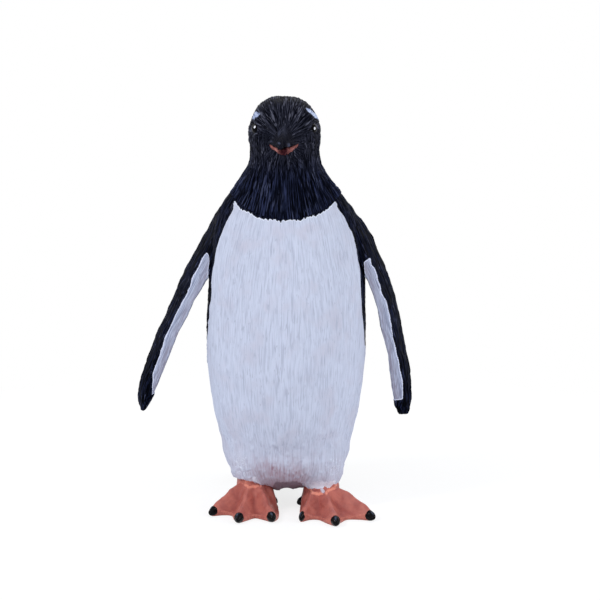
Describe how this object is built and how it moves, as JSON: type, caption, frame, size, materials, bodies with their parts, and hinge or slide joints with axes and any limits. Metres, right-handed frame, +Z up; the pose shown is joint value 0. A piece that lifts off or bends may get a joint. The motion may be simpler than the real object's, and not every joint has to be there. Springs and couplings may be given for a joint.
{
  "type": "penguin figurine",
  "caption": "Standing penguin figurine in painted moulded plastic, with flippers held away from the body, webbed feet and a short tail that rests on the ground.",
  "frame": {"origin": "middle of the footprint of the whole figurine, on the surface that it stands on", "axes": "+Z up, -Y the way the bird faces, +X the bird's left"},
  "size_m": [0.054, 0.0442, 0.0817],
  "materials": {
    "white_paint": "satin white paint with a pale lilac cast on moulded plastic",
    "black_paint": "satin blue-black paint on moulded plastic",
    "foot_orange": "satin terracotta orange paint on moulded plastic",
    "gloss_black": "wet gloss black lacquer"
  },
  "bodies": {
    "root": {"belly_shell": "white_paint", "back_shell": "black_paint", "head_cap": "black_paint", "left_eye_bead": "gloss_black", "right_eye_bead": "gloss_black", "left_flipper": "black_paint", "right_flipper": "black_paint", "left_foot": "foot_orange", "right_foot": "foot_orange"}
  },
  "joints": []
}
